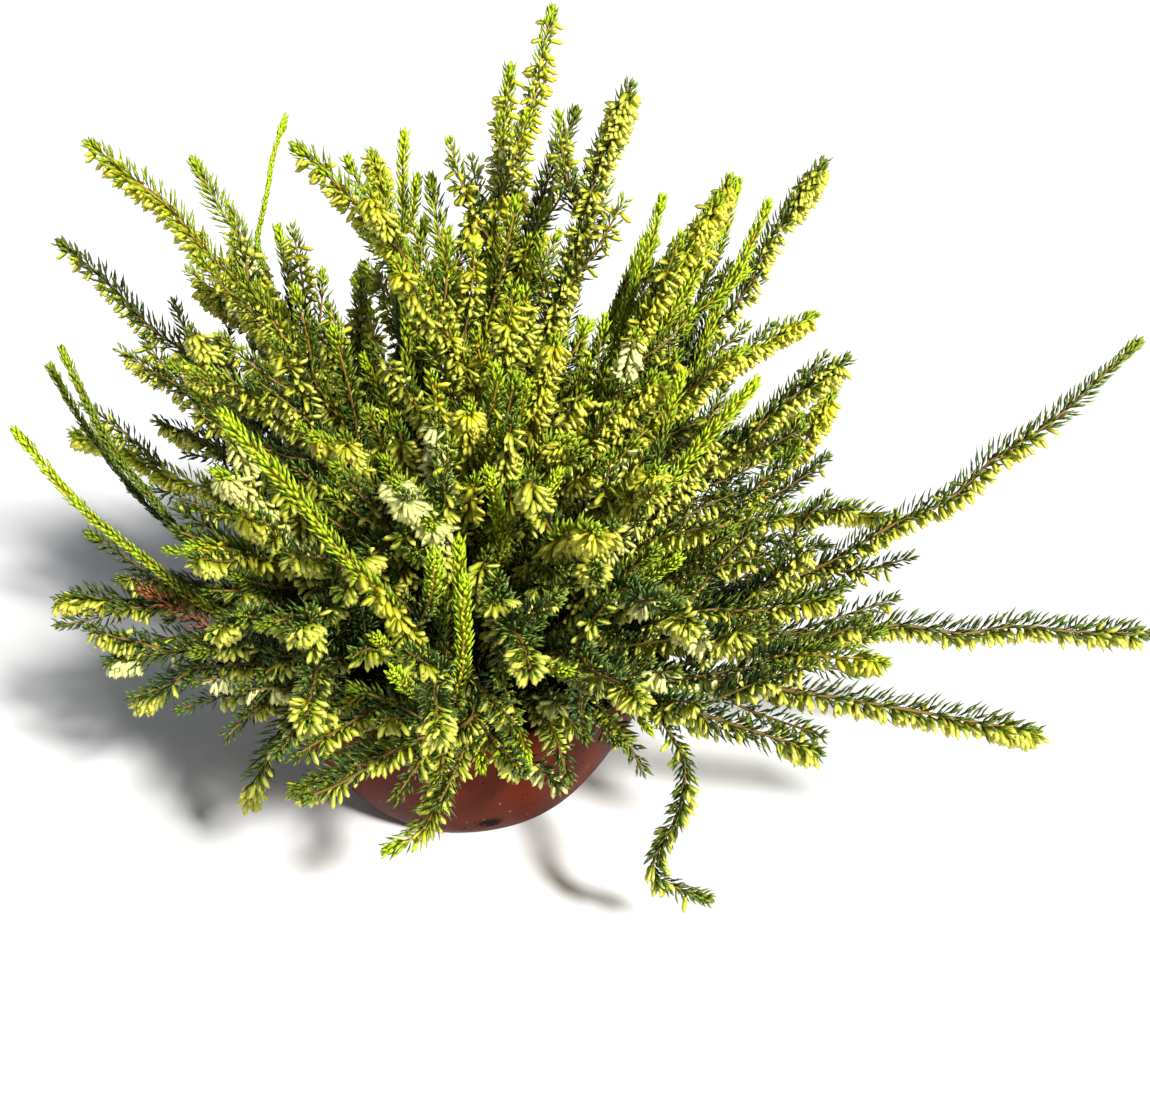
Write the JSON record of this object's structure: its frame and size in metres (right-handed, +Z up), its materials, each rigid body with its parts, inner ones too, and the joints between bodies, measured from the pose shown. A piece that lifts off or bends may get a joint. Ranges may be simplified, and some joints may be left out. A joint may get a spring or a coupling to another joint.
{
  "type": "potted darley dale heath",
  "caption": "Winter heath in bud: a low bush of needle-leaved shoots with hanging buds, rooted in soil in a shallow bowl pot that stands on its flat base.",
  "frame": {"origin": "middle of the pot's flat base, on the surface it stands on", "axes": "+Z up, -Y towards the side where shoots hang over the rim, +X towards the longest trailing shoots"},
  "size_m": [0.4917, 0.3536, 0.3425],
  "materials": {
    "pot_plastic": "smooth moulded terracotta-coloured plastic with fine soil specks",
    "compost": "dark moist compost with crumbs and thin bits of stem",
    "budded_shoots": "orange-brown stem, dark green needles and pale yellow-green buds",
    "lime_shoots": "fresh lime-green needles held close to the stem",
    "dark_shoots": "older dark green needles with a few buds"
  },
  "bodies": {
    "root": {"pot": "pot_plastic", "soil": "compost", "spray_arch_over": "budded_shoots", "spray_front_big_lime": "lime_shoots", "spray_front_hang": "budded_shoots", "spray_front_high_right": "budded_shoots", "spray_front_hook": "dark_shoots", "spray_front_low_left": "budded_shoots", "spray_front_low_mid": "budded_shoots", "spray_front_lying": "budded_shoots", "spray_front_middle": "budded_shoots", "spray_front_pale_high": "budded_shoots", "spray_front_right": "budded_shoots", "spray_front_right_low": "budded_shoots", "spray_left_big": "budded_shoots", "spray_left_bottom": "budded_shoots", "spray_left_dark": "dark_shoots", "spray_left_down": "dark_shoots", "spray_left_front_upper": "budded_shoots", "spray_left_low": "budded_shoots", "spray_left_rear": "budded_shoots", "spray_left_slim_low": "lime_shoots", "spray_left_slim_mid": "lime_shoots", "spray_rear_1": "budded_shoots", "spray_rear_10": "budded_shoots", "spray_rear_11": "budded_shoots", "spray_rear_12": "budded_shoots", "spray_rear_13": "lime_shoots", "spray_rear_2": "budded_shoots", "spray_rear_3": "lime_shoots", "spray_rear_4": "budded_shoots", "spray_rear_5": "budded_shoots", "spray_rear_6": "budded_shoots", "spray_rear_7": "budded_shoots", "spray_rear_8": "lime_shoots", "spray_rear_9": "budded_shoots", "spray_right_elbow": "budded_shoots", "spray_right_green": "lime_shoots", "spray_right_long_flat": "budded_shoots", "spray_right_long_low": "budded_shoots", "spray_right_long_up": "budded_shoots", "spray_right_low_short": "budded_shoots", "spray_right_mid": "budded_shoots", "spray_right_rosette": "budded_shoots", "spray_right_short": "budded_shoots", "spray_right_upper": "budded_shoots", "spray_right_upper_low": "budded_shoots", "spray_tallest": "budded_shoots", "spray_top_big": "budded_shoots", "spray_top_curl": "budded_shoots", "spray_top_dark": "dark_shoots", "spray_top_green_left": "lime_shoots", "spray_top_left": "budded_shoots", "spray_top_pair": "lime_shoots", "spray_top_right": "budded_shoots", "spray_top_right_green": "lime_shoots", "spray_top_right_slim": "lime_shoots", "spray_upper_front": "budded_shoots", "spray_upper_middle": "budded_shoots", "spray_upper_right_front": "budded_shoots"}
  },
  "joints": []
}
